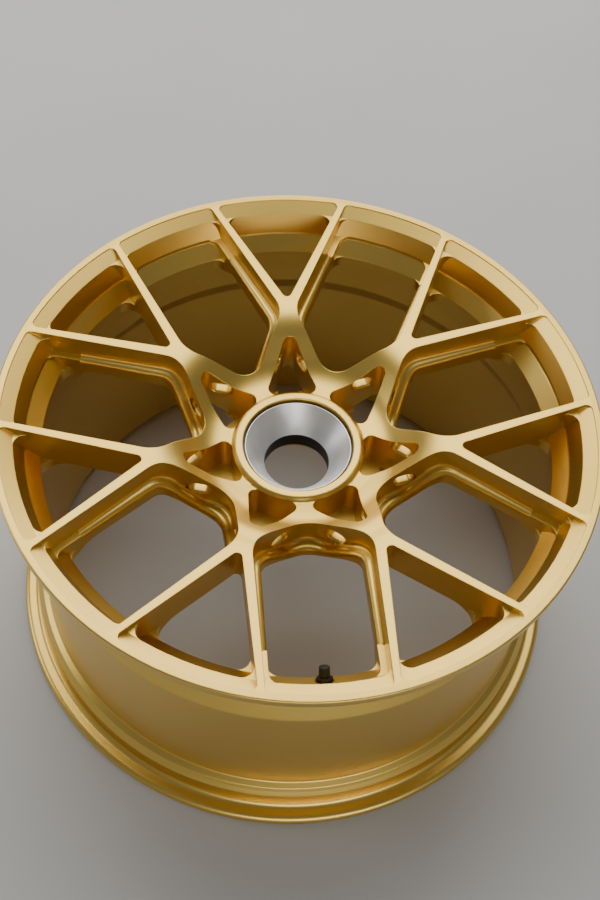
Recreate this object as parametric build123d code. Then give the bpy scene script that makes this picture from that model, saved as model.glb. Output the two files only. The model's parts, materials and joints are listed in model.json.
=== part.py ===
from build123d import *
import os
from math import atan2, cos, hypot, radians, sin, tan

# A forged centre-lock racing wheel rim, 22 x 11.5 inch, lying on its rear flange with its
# face up. The wheel's axis is +Z, the floor is Z = 0, one spoke junction points to +Y and
# the valve is at -Y. Sizes are millimetres.

# ---- driving dimensions: the rim ----
FLANGE_RADIUS = 296.9
BEAD_SEAT_RADIUS = 279.4
OVERALL_WIDTH = 317.5
FLANGE_THICKNESS = 12.7
WALL = 4.2
DRUM_RADIUS = 268.0
WELL_RADIUS = 260.0
WELL_WALL = 5.0
JOINT_HEIGHT = 250.0

# front of the rim, between the spokes, from the lip to the barrel
LIP_INNER_RADIUS = 291.0
SLOPE_TOP = (289.4, OVERALL_WIDTH - 1.2)
SLOPE_FOOT = (276.1, OVERALL_WIDTH - 8.0)
BAND_FOOT = (268.1, OVERALL_WIDTH - 29.8)
LEDGE_EDGE = (253.6, OVERALL_WIDTH - 43.7)

# ---- driving dimensions: the spider ----
JUNCTIONS = 7
SECTOR = 360 / JUNCTIONS
SPOKE_DEPTH = 40.0
SHOULDER = (132.0, OVERALL_WIDTH - 10.0)
SHOULDER_ROUND = 58.0
FOOT = (91.0, OVERALL_WIDTH - 46.5)
FOOT_ROUND = 46.0
SPOKE_ROOT = (244.0, 262.0)
OVER_RIM_U = 300.0
CUT_TOP = OVERALL_WIDTH + 30

# big windows, each centred between two junctions; U runs outward, V across
WINDOW_HALF_WIDTH = 56.6
WINDOW_TAPER = 1.3
WINDOW_KNEE_U = 131.1
WINDOW_VALLEY_U = 87.9
WINDOW_ROUND = 28.0

# inner flange that stands into each big window at the back of the spokes
FLANGE_AT_VALLEY = 12.0
FLANGE_AT_KNEE = 8.5
FLANGE_AT_RIM = 5.0
FLANGE_KNEE_ROUND = 16.0
FLANGE_VALLEY_ROUND = 24.0
FLANGE_FOOT = (108.0, 248.0)
FLANGE_FOOT_ROUND = 18.0
FLANGE_SHOULDER = (142.0, 285.0)
FLANGE_SHOULDER_ROUND = 40.0
FLANGE_END = (267.3, 290.0)
FLANGE_NOSE_ROUND = 5.0
FLANGE_ROOT_ROUND = 4.0
FLANGE_ROUND_END_U = 232.0

# V windows, each on a junction's axis
V_APEX_U = 153.2
V_HALF_ANGLE = 27.6
V_ROUND = 5.0

# through pockets around the hub, each on a junction's axis
POCKET_TIP_U = 129.9
POCKET_HALF_ANGLE = 23.3
POCKET_BASE_RADIUS = 66.0
POCKET_TIP_ROUND = 8.0
POCKET_BASE_ROUND = 7.5
POCKET_FLOOR = 229.0
POCKET_THROUGH_BASE = 86.0
POCKET_THROUGH_INSET = 4.0

# obround holes through the legs, from hub pocket to big window, with rounded mouths
SLOT_LENGTH = 21.0
SLOT_HEIGHT = 14.0
SLOT_FROM_VALLEY = 33.0
SLOT_Z = 268.0
SLOT_MOUTH_ROUND = 3.0
EDGE_MATCH = 0.4

# corners that the cutter leaves where a spoke meets the rim
LIP_CORNER = 6.0
BAND_CORNER = 11.0

# ---- driving dimensions: the hub ----
HUB_FACE = 205.0
HUB_FLANGE_RADIUS = 84.0
HUB_RING_RADIUS = 63.0
HUB_RING_FOOT = (66.5, 266.5)
HUB_RING_TOP = 270.5
SEAT_TOP = 266.7
SEAT_BOTTOM = 238.0
SEAT_NECK_RADIUS = 53.1
SEAT_FLANGE_RADIUS = 55.2
SEAT_FLANGE_TOP = 258.0
CONE_TOP_RADIUS = 52.4
BORE_RADIUS = 33.0
SLEEVE_OUTER_RADIUS = 36.5
PILOT_RADIUS = 42.0
PILOT_DEPTH = 16.0
SNAP_RING_INNER = 53.4
SNAP_RING_OUTER = 57.4
SNAP_RING_THICKNESS = 2.0
SNAP_RING_GAP_ANGLE = 24.0

DRIVE_PINS = 5
DRIVE_PIN_CIRCLE = 60.0
BUSH_OUTER_RADIUS = 12.0
BUSH_BORE_RADIUS = 7.5
BUSH_LENGTH = 18.0
BUSH_CHAMFER = 1.0

# ---- driving dimensions: the valve, along its own axis W from its spot face ----
VALVE_SEAT = (259.5, 279.5)
SPOT_DEPTH = 1.5
SPOT_RADIUS = 8.7
VALVE_HOLE_RADIUS = 5.7
WALL_AT_VALVE = 8.6
STEM_RADIUS = 5.5
STEM_FOOT_RADIUS = 8.5
STEM_FOOT = 2.0
SEAL_THICKNESS = 3.0
NUT_FLATS = 13.0
NUT_HEIGHT = 4.0
WASHER_HEIGHT = 1.0
THREAD_RADIUS = 3.85
THREAD_TOP = 13.0
CORE_BORE_RADIUS = 2.65
AIR_BORE_RADIUS = 1.9
CORE_TOP = 12.4
CAP_RADIUS = 5.0
CAP_LENGTH = 9.5
CAP_FOOT = 5.3
CAP_CLEARANCE = 0.08
CAP_GROOVES = 20
CAP_GROOVE_RADIUS = 0.45
PIN_RADIUS = 0.45
PIN_TOP = 12.0
SPRING_RADIUS = 0.95
SPRING_WIRE = 0.13
SPRING_TURNS = 5


def polar(radius, angle):
    """A point in the XY plane, the angle in degrees from +X."""
    return (radius * cos(radians(angle)), radius * sin(radians(angle)))


def outline(corners):
    """A closed face from (x, y, fillet radius) corners."""
    points = [(x, y) for x, y, _ in corners]
    radii = [radius for _, _, radius in corners]
    return make_face(FilletPolyline(*points, radius=radii, close=True))


def turned(corners):
    """A solid turned about Z from a closed (radius, height, fillet radius) profile."""
    points = [(r, z) for r, z, _ in corners]
    radii = [radius for _, _, radius in corners]
    with BuildLine(Plane.XZ) as section:
        FilletPolyline(*points, radius=radii, close=True)
    return revolve(make_face(section.line), axis=Axis.Z)


def ring(inner, outer, low, high):
    """A plain ring about Z."""
    body = Pos(0, 0, low) * Cylinder(outer, high - low, align=(Align.CENTER, Align.CENTER, Align.MIN))
    hole = Pos(0, 0, low) * Cylinder(inner, high - low, align=(Align.CENTER, Align.CENTER, Align.MIN))
    return body - hole


def rod(radius, low, high):
    """A plain cylinder about Z."""
    return Pos(0, 0, low) * Cylinder(radius, high - low, align=(Align.CENTER, Align.CENTER, Align.MIN))


def prism(face, low, high):
    """A flat face drawn at Z = 0, pulled from one height to another."""
    return extrude(Pos(0, 0, low) * face, amount=high - low)


def around(shape, count, first_angle=0.0):
    """Copies of a shape turned evenly about Z."""
    return [Rot(0, 0, first_angle + index * 360 / count) * shape for index in range(count)]


def bounded(face, radius, corner):
    """The part of a face within a circle, with its two outer corners rounded."""
    cut = face & Circle(radius)
    outer = [v for v in cut.vertices() if abs(hypot(v.X, v.Y) - radius) < 0.01]
    return fillet(outer, corner)


def rim_profile():
    """Front of the rim: lip, bead seat, hump and the start of the well, as one ring."""
    return [
        (WELL_RADIUS - WELL_WALL, JOINT_HEIGHT, 0),
        (WELL_RADIUS, JOINT_HEIGHT, 0),
        (WELL_RADIUS, 264.0, 8),
        (278.0, 282.0, 3),
        (BEAD_SEAT_RADIUS + 0.4, 286.0, 2),
        (BEAD_SEAT_RADIUS - 1.2, 289.5, 2),
        (BEAD_SEAT_RADIUS, OVERALL_WIDTH - FLANGE_THICKNESS, 6),
        (FLANGE_RADIUS - 0.4, OVERALL_WIDTH - FLANGE_THICKNESS, 4),
        (FLANGE_RADIUS, OVERALL_WIDTH, 1.6),
        (LIP_INNER_RADIUS, OVERALL_WIDTH, 0.4),
        (*SLOPE_TOP, 0),
        (*SLOPE_FOOT, 2.5),
        (*BAND_FOOT, 6),
        (*LEDGE_EDGE, 1.2),
        (WELL_RADIUS - WELL_WALL, LEDGE_EDGE[1] - 4, 0),
    ]


def barrel_profile():
    """Rear of the rim: well, drum, hump, bead seat and rear flange."""
    return [
        (WELL_RADIUS - WELL_WALL, JOINT_HEIGHT, 0),
        (WELL_RADIUS, JOINT_HEIGHT, 0),
        (WELL_RADIUS, 228.0, 12),
        (DRUM_RADIUS, 208.0, 12),
        (DRUM_RADIUS, 50.0, 3),
        (274.5, 46.0, 1.5),
        (276.5, 42.0, 1.5),
        (BEAD_SEAT_RADIUS + 0.4, 37.0, 1.5),
        (BEAD_SEAT_RADIUS - 1.2, 32.0, 2),
        (BEAD_SEAT_RADIUS, FLANGE_THICKNESS, 7),
        (FLANGE_RADIUS, FLANGE_THICKNESS, 6),
        (FLANGE_RADIUS, 0, 5),
        (276.0, 0, 3),
        (DRUM_RADIUS - WALL, 18.0, 8),
        (DRUM_RADIUS - WALL, 205.0, 12),
        (WELL_RADIUS - WELL_WALL, 226.0, 12),
    ]


def spider_profile():
    """The centre disc before any window is cut, out to inside the rim's section."""
    return [
        (SEAT_FLANGE_RADIUS, HUB_RING_TOP, 1.2),
        (HUB_RING_RADIUS, HUB_RING_TOP, 3.2),
        (*HUB_RING_FOOT, 3),
        (*FOOT, FOOT_ROUND),
        (*SHOULDER, SHOULDER_ROUND),
        (SLOPE_TOP[0] - 0.4, OVERALL_WIDTH, 0),
        (LIP_INNER_RADIUS + 1, OVERALL_WIDTH, 0),
        (LIP_INNER_RADIUS + 1, 308.0, 0),
        (277.0, 303.0, 0),
        (271.0, 284.0, 0),
        (257.0, SPOKE_ROOT[1] - 3, 0),
        (*SPOKE_ROOT, 6),
        (SPOKE_ROOT[0] - 14, OVERALL_WIDTH - 4.5 - SPOKE_DEPTH, 20),
        (140.0, SHOULDER[1] - SPOKE_DEPTH, 40),
        (112.0, 240.0, 20),
        (92.0, 226.0, 8),
        (HUB_FLANGE_RADIUS, 219.0, 5),
        (HUB_FLANGE_RADIUS, HUB_FACE, 2),
        (PILOT_RADIUS, HUB_FACE, 1),
        (PILOT_RADIUS, HUB_FACE + PILOT_DEPTH, 0),
        (SLEEVE_OUTER_RADIUS, HUB_FACE + PILOT_DEPTH, 0),
        (SLEEVE_OUTER_RADIUS, SEAT_BOTTOM, 0),
        (SEAT_FLANGE_RADIUS, SEAT_BOTTOM, 0),
        (SEAT_FLANGE_RADIUS, SEAT_FLANGE_TOP, 0),
        (SNAP_RING_OUTER, SEAT_FLANGE_TOP, 0),
        (SNAP_RING_OUTER, SEAT_FLANGE_TOP + SNAP_RING_THICKNESS, 0),
        (SEAT_FLANGE_RADIUS, SEAT_FLANGE_TOP + SNAP_RING_THICKNESS, 0),
    ]


def leg_angle():
    """The angle between a big window's axis and the legs beside it."""
    return atan2(WINDOW_HALF_WIDTH, WINDOW_KNEE_U - WINDOW_VALLEY_U)


def window_face():
    """A big window on the +X axis, open toward the rim."""
    end_v = WINDOW_HALF_WIDTH - WINDOW_TAPER
    half = [(WINDOW_KNEE_U, WINDOW_HALF_WIDTH, WINDOW_ROUND), (OVER_RIM_U, end_v, 0)]
    mirrored = [(u, -v, radius) for u, v, radius in reversed(half)]
    return outline([(WINDOW_VALLEY_U, 0, WINDOW_ROUND), *half, *mirrored])


def flange_face():
    """The same window, drawn in by the flange that stands into it."""
    valley = WINDOW_VALLEY_U + FLANGE_AT_VALLEY / sin(leg_angle())
    knee_v = WINDOW_HALF_WIDTH - FLANGE_AT_KNEE
    knee_u = valley + knee_v / tan(leg_angle())
    end_v = WINDOW_HALF_WIDTH - WINDOW_TAPER - FLANGE_AT_RIM
    half = [(knee_u, knee_v, FLANGE_KNEE_ROUND), (OVER_RIM_U, end_v, 0)]
    mirrored = [(u, -v, radius) for u, v, radius in reversed(half)]
    return outline([(valley, 0, FLANGE_VALLEY_ROUND), *half, *mirrored])


def v_face():
    """A V window on the +X axis, open toward the rim."""
    half_width = (OVER_RIM_U - V_APEX_U) * tan(radians(V_HALF_ANGLE))
    return outline([(V_APEX_U, 0, V_ROUND), (OVER_RIM_U, half_width, 0), (OVER_RIM_U, -half_width, 0)])


def air(floor_profile):
    """The empty space in front of the rim's section, above floor_profile."""
    return turned([
        *floor_profile,
        (*SLOPE_FOOT, 0),
        (*SLOPE_TOP, 0),
        (SLOPE_TOP[0] + 1, CUT_TOP, 0),
        (floor_profile[0][0], CUT_TOP, 0),
    ])


def lip_cut(face):
    """A window's cut at the lip and the band, with its own corner rounding at each."""
    at_lip = prism(bounded(face, SLOPE_TOP[0], LIP_CORNER), SLOPE_FOOT[1], CUT_TOP)
    return at_lip + prism(bounded(face, SLOPE_FOOT[0], BAND_CORNER), HUB_FACE, CUT_TOP)


def ledge_cut(face):
    """A window's cut down to the ledge, then straight through inside it."""
    above_ledge = air([(POCKET_BASE_RADIUS, LEDGE_EDGE[1], 0), (*LEDGE_EDGE, 0), (*BAND_FOOT, 0)])
    shelf = prism(bounded(face, BAND_FOOT[0], BAND_CORNER), HUB_FACE, BAND_FOOT[1] + 4) & above_ledge
    return shelf + prism(bounded(face, LEDGE_EDGE[0], BAND_CORNER), HUB_FACE, CUT_TOP)


def edges_over(solid, face):
    """The sloping edges of a solid that lie over the outline of a flat face."""
    border = face.faces()[0].outer_wire()
    found = []
    for edge in solid.edges():
        points = [edge @ 0, edge @ 0.5, edge @ 1]
        upright = hypot(points[0].X - points[2].X, points[0].Y - points[2].Y) < EDGE_MATCH
        outside = max(p.Z for p in points) > SLOPE_FOOT[1] or min(p.Z for p in points) < FLANGE_FOOT[1] - 1
        if upright or outside:
            continue
        if all(border.distance_to(Vertex(p.X, p.Y, 0)) < EDGE_MATCH for p in points):
            found.append(edge)
    return found


def big_window_cut():
    """One big window on the +X axis: a pocket down to its flange, then a smaller way through."""
    face = window_face()
    inner = flange_face()
    above_flange = air([
        (POCKET_BASE_RADIUS, FLANGE_FOOT[1], 0),
        (*FLANGE_FOOT, FLANGE_FOOT_ROUND),
        (*FLANGE_SHOULDER, FLANGE_SHOULDER_ROUND),
        (*FLANGE_END, 0),
    ])
    pocket = lip_cut(face) & above_flange
    through = ledge_cut(inner)
    size = 2 * FLANGE_RADIUS
    outward = Pos(FLANGE_ROUND_END_U, 0, 0) * Box(size, size, size, align=(Align.MIN, Align.CENTER, Align.MIN))
    rounded = (pocket + through) - outward
    rounded = fillet(edges_over(rounded, face), FLANGE_ROOT_ROUND)
    rounded = fillet(edges_over(rounded, inner), FLANGE_NOSE_ROUND)
    return [rounded, pocket & outward, through & outward]


def v_window_cut():
    """One V window on the +X axis, straight through inside the ledge."""
    face = v_face()
    above_ledge = air([(POCKET_BASE_RADIUS, LEDGE_EDGE[1], 0), (*LEDGE_EDGE, 0), (*BAND_FOOT, 0)])
    return [lip_cut(face) & above_ledge, ledge_cut(face)]


def hub_pocket_cut():
    """One hub pocket on the +X axis: a deep triangular pocket with a smaller way through."""
    half = POCKET_TIP_U * tan(radians(POCKET_HALF_ANGLE))
    triangle = outline([(POCKET_TIP_U, 0, POCKET_TIP_ROUND), (0, half, 0), (0, -half, 0)])
    inner = triangle - Circle(POCKET_BASE_RADIUS)
    base = [v for v in inner.vertices() if abs(hypot(v.X, v.Y) - POCKET_BASE_RADIUS) < 0.01]
    inner = fillet(base, POCKET_BASE_ROUND)
    through = offset(inner, -POCKET_THROUGH_INSET) - Circle(POCKET_THROUGH_BASE)
    return prism(inner, POCKET_FLOOR, OVERALL_WIDTH) + prism(through, HUB_FACE, OVERALL_WIDTH)


def slot_mouth(plane):
    """The rounded mouth of a slot, for a wall whose air side the plane faces."""
    depth = SLOT_MOUTH_ROUND + 1
    size = SLOT_LENGTH + 4 * SLOT_MOUTH_ROUND
    wall = extrude(Rectangle(size, size), -depth)
    plate = wall - extrude(SlotOverall(SLOT_LENGTH, SLOT_HEIGHT), -depth)
    rim = [e for e in plate.edges().group_by(Axis.Z)[-1] if (e @ 0.5).length < size / 2 - 1]
    plate = fillet(rim, SLOT_MOUTH_ROUND)
    wide = SlotOverall(SLOT_LENGTH + 2 * SLOT_MOUTH_ROUND, SLOT_HEIGHT + 2 * SLOT_MOUTH_ROUND)
    return plane * ((wall - plate) + extrude(wide, 1))


def leg_slot_cut(side):
    """One obround hole through a leg beside the big window on the +X axis."""
    leg = leg_angle()
    half_sector = radians(SECTOR / 2)
    centre = Vector(WINDOW_VALLEY_U + SLOT_FROM_VALLEY * cos(leg), side * SLOT_FROM_VALLEY * sin(leg), SLOT_Z)
    along = Vector(cos(leg), side * sin(leg), 0)
    to_window = Vector(sin(leg), -side * cos(leg), 0)

    pocket_angle = half_sector + radians(POCKET_HALF_ANGLE)
    tip = Vector(POCKET_TIP_U * cos(half_sector), side * POCKET_TIP_U * sin(half_sector), SLOT_Z)
    pocket_along = Vector(cos(pocket_angle), side * sin(pocket_angle), 0)
    to_pocket = Vector(-sin(pocket_angle), side * cos(pocket_angle), 0)
    thickness = (centre - tip).dot(to_pocket) / to_window.dot(to_pocket)

    window_wall = Plane(origin=centre, x_dir=along, z_dir=to_window)
    pocket_wall = Plane(origin=centre - to_window * thickness, x_dir=pocket_along, z_dir=to_pocket)
    through = window_wall * extrude(SlotOverall(SLOT_LENGTH, SLOT_HEIGHT), -thickness)
    return [through, slot_mouth(window_wall), slot_mouth(pocket_wall)]


def valve_place():
    """Where the valve's own axis W lies: out of the ledge at -Y, toward the wheel's face."""
    slope = atan2(BAND_FOOT[1] - LEDGE_EDGE[1], BAND_FOOT[0] - LEDGE_EDGE[0])
    out = (0, sin(slope), cos(slope))
    radius = VALVE_SEAT[0] + SPOT_DEPTH * sin(slope)
    height = VALVE_SEAT[1] - SPOT_DEPTH * cos(slope)
    return Plane(origin=(0, -radius, height), x_dir=(1, 0, 0), z_dir=out).location


def drive_pin_places():
    """The five drive pin axes, the first one at +Y."""
    return [polar(DRIVE_PIN_CIRCLE, 90 + index * 360 / DRIVE_PINS) for index in range(DRIVE_PINS)]


def wheel_centre():
    """Hub, legs, spokes and the front section of the rim, cut from one forging."""
    body = turned(spider_profile())
    for cut in [*v_window_cut(), hub_pocket_cut()]:
        body -= around(cut, JUNCTIONS, 90)
    for cut in [*big_window_cut(), *leg_slot_cut(1), *leg_slot_cut(-1)]:
        body -= around(cut, JUNCTIONS, 90 + SECTOR / 2)
    body += turned(rim_profile())
    for x, y in drive_pin_places():
        body -= Pos(x, y, 0) * rod(BUSH_OUTER_RADIUS, HUB_FACE, HUB_FACE + BUSH_LENGTH)
    place = valve_place()
    body -= place * rod(VALVE_HOLE_RADIUS, -WALL_AT_VALVE - 10, 10)
    body -= place * rod(SPOT_RADIUS, 0, 12)
    body -= place * rod(STEM_FOOT_RADIUS + 1.5, -WALL_AT_VALVE - 8, -WALL_AT_VALVE)
    return body


def nut_seat_ring():
    """The turned cone that the centre nut bears on."""
    return turned([
        (BORE_RADIUS, SEAT_BOTTOM, 0),
        (SEAT_FLANGE_RADIUS, SEAT_BOTTOM, 0),
        (SEAT_FLANGE_RADIUS, SEAT_FLANGE_TOP, 0),
        (SEAT_NECK_RADIUS, SEAT_FLANGE_TOP, 0),
        (SEAT_NECK_RADIUS, SEAT_TOP, 0.3),
        (CONE_TOP_RADIUS, SEAT_TOP, 0.3),
        (BORE_RADIUS, SEAT_BOTTOM + 0.6, 0.3),
    ])


def seat_snap_ring():
    """The open ring that keeps the seat in its counterbore."""
    low = SEAT_FLANGE_TOP
    whole = ring(SNAP_RING_INNER, SNAP_RING_OUTER, low, low + SNAP_RING_THICKNESS)
    reach = SNAP_RING_OUTER + 5
    gap = outline([
        (0, 0, 0),
        (*polar(reach, 90 - SNAP_RING_GAP_ANGLE / 2), 0),
        (*polar(reach, 90 + SNAP_RING_GAP_ANGLE / 2), 0),
    ])
    return whole - prism(gap, low - 1, low + SNAP_RING_THICKNESS + 1)


def bore_sleeve():
    """The dark sleeve below the cone, which the hub's spindle passes through."""
    return ring(BORE_RADIUS, SLEEVE_OUTER_RADIUS, HUB_FACE + PILOT_DEPTH, SEAT_BOTTOM)


def drive_pin_bush():
    """A hardened bush for one drive pin, with a lead-in at its mouth."""
    return turned([
        (BUSH_BORE_RADIUS + BUSH_CHAMFER, HUB_FACE, 0),
        (BUSH_OUTER_RADIUS, HUB_FACE, 0),
        (BUSH_OUTER_RADIUS, HUB_FACE + BUSH_LENGTH, 0),
        (BUSH_BORE_RADIUS, HUB_FACE + BUSH_LENGTH, 0),
        (BUSH_BORE_RADIUS, HUB_FACE + BUSH_CHAMFER, 0),
    ])


def valve_pieces():
    """The valve's pieces along +Z, with the wheel's spot face at Z = 0."""
    seal_foot = -WALL_AT_VALVE - SEAL_THICKNESS
    nut_foot = WASHER_HEIGHT
    nut = prism(RegularPolygon(NUT_FLATS / 2, 6, major_radius=False), nut_foot, nut_foot + NUT_HEIGHT)
    stem = turned([
        (AIR_BORE_RADIUS, seal_foot - STEM_FOOT, 0),
        (STEM_FOOT_RADIUS, seal_foot - STEM_FOOT, 0.6),
        (STEM_FOOT_RADIUS, seal_foot, 0.4),
        (STEM_RADIUS, seal_foot, 0),
        (STEM_RADIUS, nut_foot + NUT_HEIGHT, 0),
        (THREAD_RADIUS, nut_foot + NUT_HEIGHT, 0),
        (THREAD_RADIUS, THREAD_TOP, 0.4),
        (CORE_BORE_RADIUS, THREAD_TOP, 0),
        (CORE_BORE_RADIUS, 6.0, 0),
        (AIR_BORE_RADIUS, 6.0, 0),
    ])
    core_body = ring(PIN_RADIUS + 0.08, CORE_BORE_RADIUS, 10.0, CORE_TOP - 1.4) + ring(
        1.6, CORE_BORE_RADIUS, CORE_TOP - 1.4, CORE_TOP
    )
    core_body += ring(1.25, 1.75, 2.0, 10.0)
    core_body += ring(PIN_RADIUS + 0.08, 1.75, 1.4, 2.0)
    gasket = ring(1.75, CORE_BORE_RADIUS, 6.0, 8.0)
    pin = rod(PIN_RADIUS, 0.0, PIN_TOP) + rod(1.3, -0.4, 0.0)
    cup = ring(PIN_RADIUS, 1.5, 0.0, 1.35)
    helix = Pos(0, 0, 2.3) * Helix(pitch=1.2, height=1.2 * SPRING_TURNS, radius=SPRING_RADIUS)
    spring_section = Plane(origin=helix @ 0, z_dir=helix % 0) * Circle(SPRING_WIRE)
    spring = sweep(spring_section, path=helix)
    cap_bore = THREAD_RADIUS + CAP_CLEARANCE
    cap = turned([
        (cap_bore, CAP_FOOT, 0),
        (CAP_RADIUS, CAP_FOOT, 0.3),
        (CAP_RADIUS, CAP_FOOT + CAP_LENGTH, 1.0),
        (0, CAP_FOOT + CAP_LENGTH, 0),
        (0, THREAD_TOP + 0.95, 0),
        (cap_bore, THREAD_TOP + 0.95, 0),
    ])
    groove = Pos(CAP_RADIUS + 0.1, 0, 0) * rod(CAP_GROOVE_RADIUS, CAP_FOOT - 1, CAP_FOOT + CAP_LENGTH - 1.6)
    cap -= around(groove, CAP_GROOVES)
    return {
        "valve_stem": stem,
        "valve_seal": ring(STEM_RADIUS, STEM_FOOT_RADIUS, seal_foot, -WALL_AT_VALVE),
        "valve_washer": ring(STEM_RADIUS, 8.0, 0, WASHER_HEIGHT),
        "valve_nut": nut - rod(STEM_RADIUS, nut_foot, nut_foot + NUT_HEIGHT),
        "valve_core_body": core_body,
        "valve_core_gasket": gasket,
        "valve_core_pin": pin,
        "valve_core_cup": cup,
        "valve_core_spring": spring,
        "valve_cap": cap,
        "valve_cap_seal": ring(1.2, cap_bore - 0.2, THREAD_TOP + 0.05, THREAD_TOP + 0.9),
    }


def write(name, shape):
    """One STEP file for one named piece."""
    solids = shape.solids()
    piece = solids[0] if len(solids) == 1 else Compound(children=list(solids))
    piece.label = name
    export_step(piece, f"parts/{name}.step")
    print(name, len(solids), round(piece.volume, 1))


def main():
    os.makedirs("parts", exist_ok=True)
    write("wheel_centre", wheel_centre())
    write("rim_barrel", turned(barrel_profile()))
    write("nut_seat_ring", nut_seat_ring())
    write("seat_snap_ring", seat_snap_ring())
    write("bore_sleeve", bore_sleeve())
    for number, (x, y) in enumerate(drive_pin_places(), start=1):
        write(f"drive_pin_bush_{number}", Pos(x, y, 0) * drive_pin_bush())
    place = valve_place()
    for name, shape in valve_pieces().items():
        write(name, place * shape)


main()
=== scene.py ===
import bmesh
import bpy
import json
from math import cos, pi, radians, sin
from mathutils import Matrix, Vector


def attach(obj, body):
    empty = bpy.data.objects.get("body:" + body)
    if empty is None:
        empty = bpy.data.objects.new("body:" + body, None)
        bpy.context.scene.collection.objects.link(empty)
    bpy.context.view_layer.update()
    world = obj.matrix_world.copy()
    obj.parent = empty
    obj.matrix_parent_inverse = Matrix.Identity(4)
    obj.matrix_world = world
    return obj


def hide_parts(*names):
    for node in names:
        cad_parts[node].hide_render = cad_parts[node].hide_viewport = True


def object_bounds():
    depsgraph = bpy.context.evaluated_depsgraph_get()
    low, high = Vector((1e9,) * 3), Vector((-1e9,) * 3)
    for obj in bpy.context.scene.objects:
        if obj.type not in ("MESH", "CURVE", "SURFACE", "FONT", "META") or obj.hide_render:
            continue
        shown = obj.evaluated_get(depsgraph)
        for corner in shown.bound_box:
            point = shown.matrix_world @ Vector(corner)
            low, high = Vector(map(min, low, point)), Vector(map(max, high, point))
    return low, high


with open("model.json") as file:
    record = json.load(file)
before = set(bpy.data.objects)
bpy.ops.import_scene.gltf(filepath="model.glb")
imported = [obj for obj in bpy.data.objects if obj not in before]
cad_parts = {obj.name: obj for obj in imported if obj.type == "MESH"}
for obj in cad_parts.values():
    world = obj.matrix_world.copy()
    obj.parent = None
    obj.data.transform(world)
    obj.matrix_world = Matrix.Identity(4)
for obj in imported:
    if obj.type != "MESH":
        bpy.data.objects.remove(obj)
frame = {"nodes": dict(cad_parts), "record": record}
cad_box = [list(corner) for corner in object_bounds()]

# ---- sizes worked out from the frame, in metres ----
LOW, HIGH = (Vector(corner) for corner in cad_box)
FLANGE_RADIUS = (HIGH.x - LOW.x) / 2

# ---- camera: where it stands round the rim, in flange radii and degrees ----
CAMERA_ELEVATION = 55.86
CAMERA_AZIMUTH = -10.02
CAMERA_ROLL = 6.01
CAMERA_DISTANCE = 5.5427
CAMERA_AIM = (0.0076, 0.5924, 0.0)
LENS = 53.05
SENSOR = 36.0
CLIP_START = 0.01
CLIP_END = 50

# ---- stage: floor and soft boxes, in metres and watts ----
FLOOR_SIZE = 14
FLOOR_DROP = 0.0006
SKY_COLOUR = (0.86, 0.88, 0.92)
SKY_STRENGTH = 0.20
SOFT_BOXES = [
    {
        "name": "overhead_box",
        "place": (0.0, 1.0, 2.2),
        "aim": (0, 0.1, 0.2),
        "size": (2.4, 1.6),
        "power": 40,
        "colour": (1.0, 0.985, 0.95),
    },
    {
        "name": "far_box",
        "place": (0.2, 3.0, 1.2),
        "aim": (0, 0, 0.25),
        "size": (3.4, 1.9),
        "power": 66,
        "colour": (1.0, 0.975, 0.93),
    },
    {
        "name": "left_box",
        "place": (-2.4, 0.5, 0.9),
        "aim": (0, 0, 0.2),
        "size": (1.0, 1.2),
        "power": 12,
        "colour": (0.94, 0.97, 1.0),
    },
    {
        "name": "low_front_box",
        "place": (0.3, -2.6, 0.85),
        "aim": (0, 0, 0.25),
        "size": (2.2, 0.4),
        "power": 24,
        "colour": (1.0, 0.99, 0.97),
    },
]

# ---- finishes: linear colours, sizes in metres, grooves in radians per metre ----
FLOOR_TONES = ((0.50, 0.50, 0.495), (0.53, 0.53, 0.525))
GOLD_TONES = ((0.74, 0.475, 0.085), (0.76, 0.495, 0.095))
GOLD_FLAKE = (0.85, 0.62, 0.18)
ALUMINIUM_TONES = ((0.94, 0.94, 0.94), (0.89, 0.89, 0.885))
STEEL_TONES = ((0.46, 0.46, 0.47), (0.36, 0.35, 0.34))
PHOSPHATE_TONES = ((0.11, 0.11, 0.12), (0.20, 0.20, 0.21))
BRASS_TONES = ((0.74, 0.53, 0.22), (0.50, 0.34, 0.14))
RUBBER_TONES = ((0.018, 0.018, 0.019), (0.045, 0.045, 0.046))
# near black: the bore sleeve's black anodising, made darker to stand for the shade inside the bore, so
# partly painted shade
SLEEVE_BLACK_AND_SHADE = (0.012, 0.013, 0.012)
VALVE_BLACK = (0.022, 0.022, 0.024)
PAINT_EDGE_ROUND = 0.0011
CONE_GROOVES = 9000.0
ANODISED_GROOVES = 7000.0

# ---- the barrel, turned again with finer steps ----
TURN_STEPS = 360
SEAM_REACH = 0.00001
SHARP_ANGLE = 32


def camera():
    """The camera, at the angle that the rim is shown from."""
    elevation = radians(CAMERA_ELEVATION)
    back = Vector((0, -cos(elevation), sin(elevation)))
    right = Vector((1, 0, 0))
    up = back.cross(right)
    roll = radians(CAMERA_ROLL)
    rolled_right = cos(roll) * right + sin(roll) * up
    rolled_up = -sin(roll) * right + cos(roll) * up
    place = (Vector(CAMERA_AIM) + CAMERA_DISTANCE * back) * FLANGE_RADIUS
    pose = Matrix((rolled_right, rolled_up, back)).transposed().to_4x4()
    pose.translation = place
    data = bpy.data.cameras.new("camera")
    data.lens = LENS
    data.sensor_width = SENSOR
    data.clip_start = CLIP_START
    data.clip_end = CLIP_END
    holder = bpy.data.objects.new("camera", data)
    bpy.context.collection.objects.link(holder)
    holder.matrix_world = Matrix.Rotation(radians(CAMERA_AZIMUTH), 4, "Z") @ pose
    bpy.context.scene.camera = holder


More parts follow.
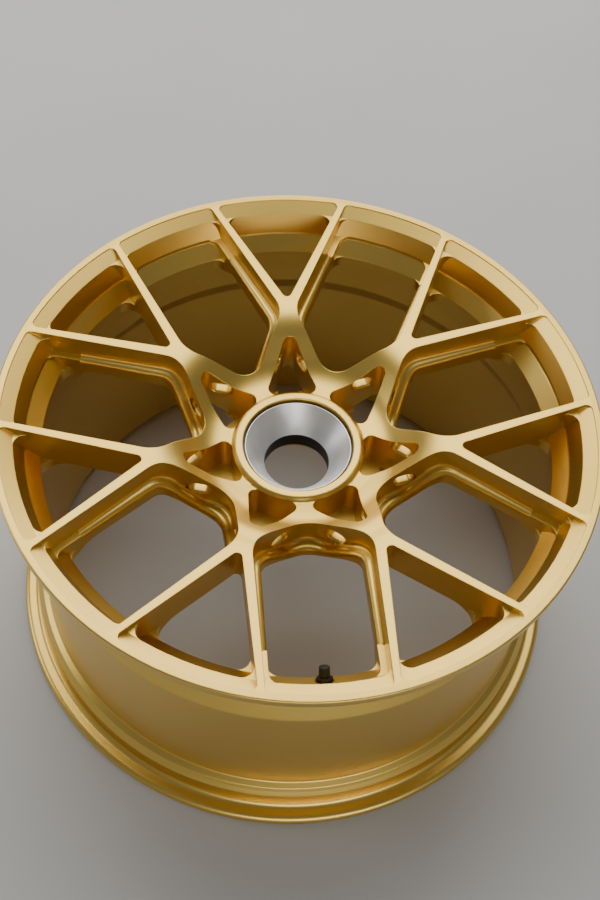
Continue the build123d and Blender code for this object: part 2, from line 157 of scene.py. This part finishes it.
def area_light(name, place, aim, size, power, colour):
    """One soft box that looks from a place to a point."""
    data = bpy.data.lights.new(name, "AREA")
    data.shape = "RECTANGLE"
    data.size, data.size_y = size
    data.energy = power
    data.color = colour
    lamp = bpy.data.objects.new(name, data)
    bpy.context.collection.objects.link(lamp)
    lamp.location = place
    lamp.rotation_euler = (Vector(aim) - Vector(place)).to_track_quat("-Z", "Y").to_euler()


def stage():
    """A plain pale floor and the plain soft light of a studio, most of it from the far side."""
    bpy.ops.mesh.primitive_plane_add(size=FLOOR_SIZE, location=(0, 0, -FLOOR_DROP))
    floor = bpy.context.object
    floor.name = "floor"
    floor.data.materials.append(floor_material())
    world = bpy.data.worlds.new("studio")
    world.use_nodes = True
    sky = world.node_tree.nodes["Background"]
    sky.inputs["Color"].default_value = (*SKY_COLOUR, 1)
    sky.inputs["Strength"].default_value = SKY_STRENGTH
    bpy.context.scene.world = world
    for box in SOFT_BOXES:
        area_light(**box)


class Nodes:
    """A short way to write a material's node tree."""

    def __init__(self, name):
        self.material = bpy.data.materials.new(name)
        self.material.use_nodes = True
        self.tree = self.material.node_tree
        self.shader = self.tree.nodes["Principled BSDF"]
        self.position = self.add("ShaderNodeTexCoord").outputs["Object"]

    def add(self, kind, **settings):
        node = self.tree.nodes.new(kind)
        for key, value in settings.items():
            setattr(node, key, value)
        return node

    def link(self, source, target):
        self.tree.links.new(source, target)

    def noise(self, scale, detail=3.0, roughness=0.5, source=None):
        node = self.add("ShaderNodeTexNoise")
        node.inputs["Scale"].default_value = scale
        node.inputs["Detail"].default_value = detail
        node.inputs["Roughness"].default_value = roughness
        self.link(source or self.position, node.inputs["Vector"])
        return node.outputs["Fac"]

    def math(self, operation, first, second=None):
        node = self.add("ShaderNodeMath", operation=operation)
        for socket, value in zip(node.inputs, (first, second)):
            if value is None:
                continue
            if isinstance(value, (int, float)):
                socket.default_value = value
            else:
                self.link(value, socket)
        return node.outputs[0]

    def span(self, source, low, high, out_low, out_high):
        node = self.add("ShaderNodeMapRange")
        self.link(source, node.inputs["Value"])
        for key, value in zip(("From Min", "From Max", "To Min", "To Max"), (low, high, out_low, out_high)):
            node.inputs[key].default_value = value
        return node.outputs["Result"]

    def mix(self, factor, first, second):
        node = self.add("ShaderNodeMix", data_type="RGBA")
        self.link(factor, node.inputs["Factor"])
        for socket, value in ((node.inputs[6], first), (node.inputs[7], second)):
            if isinstance(value, tuple):
                socket.default_value = (*value, 1)
            else:
                self.link(value, socket)
        return node.outputs[2]

    def bump(self, height, strength, distance, under=None):
        node = self.add("ShaderNodeBump")
        node.inputs["Strength"].default_value = strength
        node.inputs["Distance"].default_value = distance
        self.link(height, node.inputs["Height"])
        if under is not None:
            self.link(under, node.inputs["Normal"])
        return node.outputs["Normal"]

    def set(self, **values):
        for key, value in values.items():
            self.shader.inputs[key.replace("_", " ")].default_value = value

    def tone(self, factor, first, second):
        """The base colour, between two tones."""
        colour = self.mix(factor, first, second)
        self.link(colour, self.shader.inputs["Base Color"])

    def across(self):
        """Distance from the wheel's axis and height, for marks left by turning."""
        split = self.add("ShaderNodeSeparateXYZ")
        self.link(self.position, split.inputs["Vector"])
        x_squared = self.math("POWER", split.outputs["X"], 2)
        y_squared = self.math("POWER", split.outputs["Y"], 2)
        return self.math("SQRT", self.math("ADD", x_squared, y_squared)), split.outputs["Z"]


def gold_paint():
    """Satin metallic gold: fine flake, slight tone drift, a thin clear coat, softly broken edges."""
    m = Nodes("gold_paint")
    m.set(Metallic=1.0, Coat_Weight=0.22, Coat_Roughness=0.16)
    drift = m.noise(7.0, 4.0)
    flake = m.noise(2600.0, 2.0, 0.6)
    base = m.mix(m.span(drift, 0.35, 0.65, 0, 1), *GOLD_TONES)
    fine = m.mix(m.span(flake, 0.4, 0.75, 0, 1), base, GOLD_FLAKE)
    m.link(fine, m.shader.inputs["Base Color"])
    m.link(m.span(m.noise(26.0, 5.0), 0.3, 0.7, 0.355, 0.375), m.shader.inputs["Roughness"])
    edge = m.add("ShaderNodeBevel", samples=4)
    edge.inputs["Radius"].default_value = PAINT_EDGE_ROUND
    peel = m.bump(m.noise(380.0, 2.0), 0.04, 0.0003, edge.outputs["Normal"])
    m.link(m.bump(flake, 0.10, 0.0001, peel), m.shader.inputs["Normal"])
    return m.material


def turned_aluminium():
    """Bare aluminium with the fine grooves of the lathe and faint wear from the nut."""
    m = Nodes("turned_aluminium")
    m.set(Metallic=1.0, Anisotropic=0.8, Anisotropic_Rotation=0.25)
    radius, height = m.across()
    along_cone = m.math("ADD", radius, height)
    wave = m.math("SINE", m.math("MULTIPLY", along_cone, CONE_GROOVES))
    uneven = m.noise(60.0, 3.0)
    smear = m.noise(14.0, 5.0, 0.6)
    m.tone(m.span(smear, 0.35, 0.7, 0, 1), *ALUMINIUM_TONES)
    m.link(m.span(uneven, 0.3, 0.7, 0.36, 0.42), m.shader.inputs["Roughness"])
    grooves = m.bump(wave, 0.22, 0.00004)
    m.link(m.bump(uneven, 0.05, 0.0003, grooves), m.shader.inputs["Normal"])
    tangent = m.add("ShaderNodeTangent", direction_type="RADIAL", axis="Z")
    m.link(tangent.outputs["Tangent"], m.shader.inputs["Tangent"])
    return m.material


def black_anodised(name, tone):
    """Hard black anodising over turned aluminium, slightly dusty. On the bore sleeve the near-black tone is
    also painted shade for the inside of the bore.
    """
    m = Nodes(name)
    m.set(Metallic=0.45, Specular_IOR_Level=0.5)
    dust = m.noise(90.0, 5.0, 0.6)
    light = tuple(2.0 * part + 0.01 for part in tone)
    m.tone(m.span(dust, 0.45, 0.8, 0, 1), tone, light)
    m.link(m.span(m.noise(40.0, 4.0), 0.3, 0.7, 0.34, 0.48), m.shader.inputs["Roughness"])
    radius, height = m.across()
    along = m.math("ADD", radius, height)
    wave = m.math("SINE", m.math("MULTIPLY", along, ANODISED_GROOVES))
    m.link(m.bump(wave, 0.12, 0.00004), m.shader.inputs["Normal"])
    return m.material


def ground_steel():
    """Ground and oiled steel, with fine scratches along the axis."""
    m = Nodes("ground_steel")
    m.set(Metallic=1.0)
    stretch = m.add("ShaderNodeMapping")
    stretch.inputs["Scale"].default_value = (1.0, 1.0, 0.05)
    m.link(m.position, stretch.inputs["Vector"])
    scratch = m.noise(1500.0, 3.0, 0.6, stretch.outputs["Vector"])
    stain = m.noise(110.0, 4.0)
    m.tone(m.span(stain, 0.4, 0.7, 0, 1), *STEEL_TONES)
    m.link(m.span(scratch, 0.3, 0.7, 0.22, 0.38), m.shader.inputs["Roughness"])
    m.link(m.bump(scratch, 0.15, 0.00008), m.shader.inputs["Normal"])
    return m.material


def phosphated_steel():
    """Spring steel with a matt grey phosphate skin."""
    m = Nodes("phosphated_steel")
    m.set(Metallic=0.85)
    grain = m.noise(900.0, 4.0, 0.65)
    m.tone(m.span(grain, 0.35, 0.7, 0, 1), *PHOSPHATE_TONES)
    m.link(m.span(grain, 0.3, 0.7, 0.42, 0.6), m.shader.inputs["Roughness"])
    m.link(m.bump(grain, 0.2, 0.00006), m.shader.inputs["Normal"])
    return m.material


def turned_brass():
    """Turned brass, a little dulled."""
    m = Nodes("turned_brass")
    m.set(Metallic=1.0)
    dull = m.noise(700.0, 4.0, 0.6)
    m.tone(m.span(dull, 0.4, 0.75, 0, 1), *BRASS_TONES)
    m.link(m.span(dull, 0.3, 0.7, 0.24, 0.42), m.shader.inputs["Roughness"])
    m.link(m.bump(dull, 0.1, 0.00003), m.shader.inputs["Normal"])
    return m.material


def seal_rubber():
    """Moulded black rubber with a fine bloom."""
    m = Nodes("seal_rubber")
    m.set(Specular_IOR_Level=0.35)
    bloom = m.noise(800.0, 4.0, 0.6)
    m.tone(m.span(bloom, 0.45, 0.8, 0, 1), *RUBBER_TONES)
    m.link(m.span(bloom, 0.3, 0.7, 0.55, 0.75), m.shader.inputs["Roughness"])
    m.link(m.bump(bloom, 0.25, 0.00006), m.shader.inputs["Normal"])
    return m.material


def floor_material():
    """The plain pale floor."""
    m = Nodes("pale_floor")
    m.set(Roughness=0.6)
    tone = m.span(m.noise(3.0, 3.0), 0.3, 0.7, 0, 1)
    m.tone(tone, *FLOOR_TONES)
    return m.material


def paint(node, material):
    """Give one CAD node its material, without touching its mesh."""
    holder = frame["nodes"][node]
    for slot in holder.material_slots:
        slot.link = "OBJECT"
        slot.material = material


def seam_outline(node):
    """The closed (radius, height) outline of a turned CAD node, read along its seam."""
    holder = frame["nodes"][node]
    points = [holder.matrix_world @ vertex.co for vertex in holder.data.vertices]
    beside = {}
    for edge in holder.data.edges:
        pair = [points[index] for index in edge.vertices]
        if any(abs(point.y) > SEAM_REACH or point.x < 0 for point in pair):
            continue
        first, second = ((round(point.x, 6), round(point.z, 6)) for point in pair)
        if first != second:
            beside.setdefault(first, set()).add(second)
            beside.setdefault(second, set()).add(first)
    walk = [min(beside)]
    while True:
        onward = sorted(point for point in beside[walk[-1]] if point not in walk)
        if not onward:
            return walk
        walk.append(onward[0])


def turned_again(node, name):
    """A finer turned mesh that stands for a turned CAD node, on the CAD node's own outline."""
    section = seam_outline(node)
    vertices = []
    for step in range(TURN_STEPS):
        angle = 2 * pi * step / TURN_STEPS
        vertices += [(radius * cos(angle), radius * sin(angle), height) for radius, height in section]
    count = len(section)
    faces = []
    for step in range(TURN_STEPS):
        here = step * count
        onward = (step + 1) % TURN_STEPS * count
        for index in range(count):
            following = (index + 1) % count
            faces.append((here + index, here + following, onward + following, onward + index))
    mesh = bpy.data.meshes.new(name)
    mesh.from_pydata(vertices, [], faces)
    work = bmesh.new()
    work.from_mesh(mesh)
    bmesh.ops.recalc_face_normals(work, faces=work.faces)
    work.to_mesh(mesh)
    work.free()
    mesh.shade_smooth()
    mesh.set_sharp_from_angle(angle=radians(SHARP_ANGLE))
    piece = bpy.data.objects.new(name, mesh)
    bpy.context.collection.objects.link(piece)
    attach(piece, "wheel")
    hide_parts(node)
    return piece


camera()
stage()
materials = {
    "gold_paint": gold_paint(),
    "bare_aluminium": turned_aluminium(),
    # the bore sleeve's near-black anodising is also painted shade for the inside of the bore
    "dark_anodised": black_anodised("dark_anodised", SLEEVE_BLACK_AND_SHADE),
    "valve_alloy": black_anodised("valve_alloy", VALVE_BLACK),
    "bush_steel": ground_steel(),
    "spring_steel": phosphated_steel(),
    "brass": turned_brass(),
    "seal_rubber": seal_rubber(),
}
slots = {row["node"]: row["material_slot"] for row in frame["record"]["subparts"]}
for node in frame["nodes"]:
    paint(node, materials[slots[node]])
barrel = turned_again("rim_barrel", "rim_barrel_turned")
barrel.data.materials.append(materials["gold_paint"])
